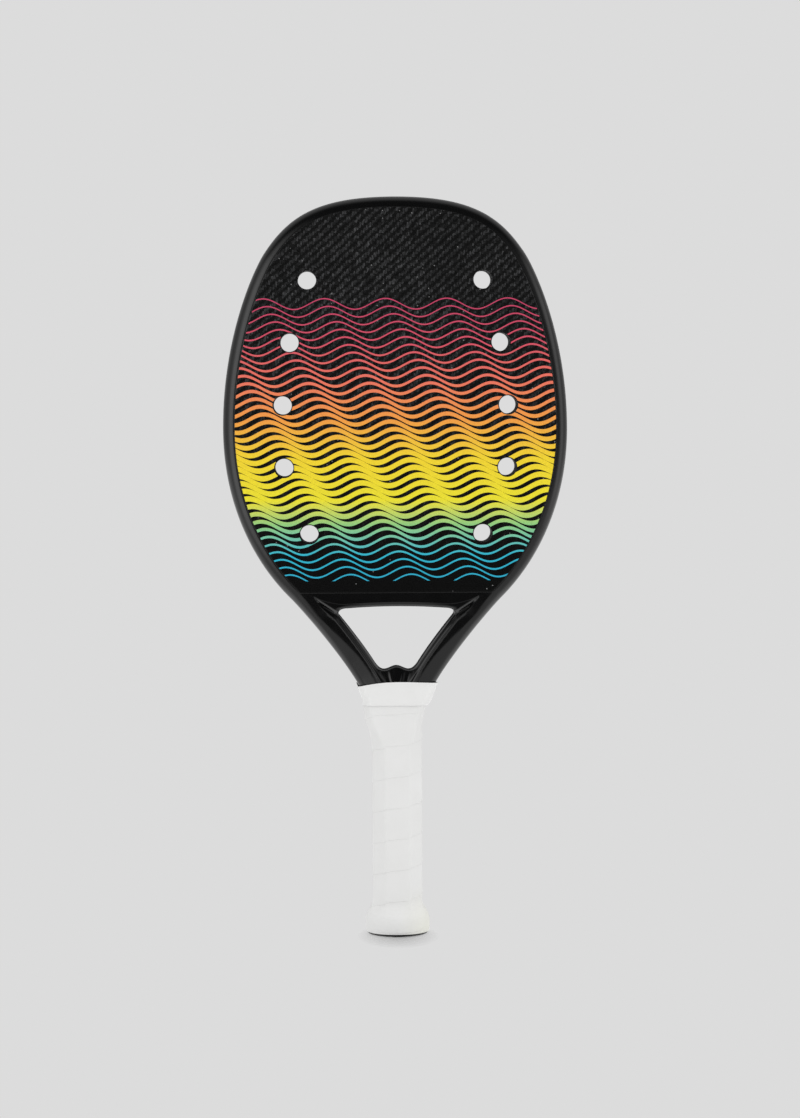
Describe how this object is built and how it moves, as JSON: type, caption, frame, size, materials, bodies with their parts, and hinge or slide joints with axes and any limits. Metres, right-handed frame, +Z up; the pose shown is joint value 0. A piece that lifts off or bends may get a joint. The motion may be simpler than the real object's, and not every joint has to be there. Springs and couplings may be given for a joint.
{
  "type": "beach tennis racket",
  "caption": "Carbon beach tennis racket with a perforated foam-cored face, an open throat, a ribbed yoke and a wrapped octagonal handle with a flared butt.",
  "frame": {"origin": "centre of the flat bottom of the butt lid, which the racket stands on", "axes": "+Z up the handle to the crown of the head, -Y out of the front face, +X to the right of it"},
  "size_m": [0.2324, 0.0384, 0.5],
  "materials": {
    "carbon_frame": "black clear-coated carbon composite",
    "face_weave": "twill carbon weave with fine grit under a satin clear coat",
    "face_print": "satin ink running from pink through yellow to cyan",
    "core_foam": "closed-cell foam",
    "pallet_plastic": "hard moulded foam plastic",
    "lid_plastic": "moulded black plastic",
    "staple_steel": "drawn wire",
    "cushion": "soft polyurethane cushion",
    "end_tape": "thin adhesive tape",
    "overgrip": "soft tacky polyurethane wrap, fine pebbled",
    "finish_tape": "smooth elastic tape"
  },
  "bodies": {
    "root": {"frame_tube": "carbon_frame", "throat_bridge": "carbon_frame", "throat_yoke": "carbon_frame", "front_face_skin": "face_weave", "rear_face_skin": "face_weave", "foam_core": "core_foam", "bridge_foam": "core_foam", "leg_foam_right": "core_foam", "leg_foam_left": "core_foam", "pallet_front": "pallet_plastic", "pallet_rear": "pallet_plastic", "butt_cap": "pallet_plastic", "butt_cap_lid": "lid_plastic", "butt_staple_front_left": "staple_steel", "butt_staple_front_right": "staple_steel", "butt_staple_rear_left": "staple_steel", "butt_staple_rear_right": "staple_steel", "grip_staple": "staple_steel", "base_grip": "cushion", "base_grip_tape": "end_tape", "overgrip": "overgrip", "finishing_tape": "finish_tape"}
  },
  "joints": []
}
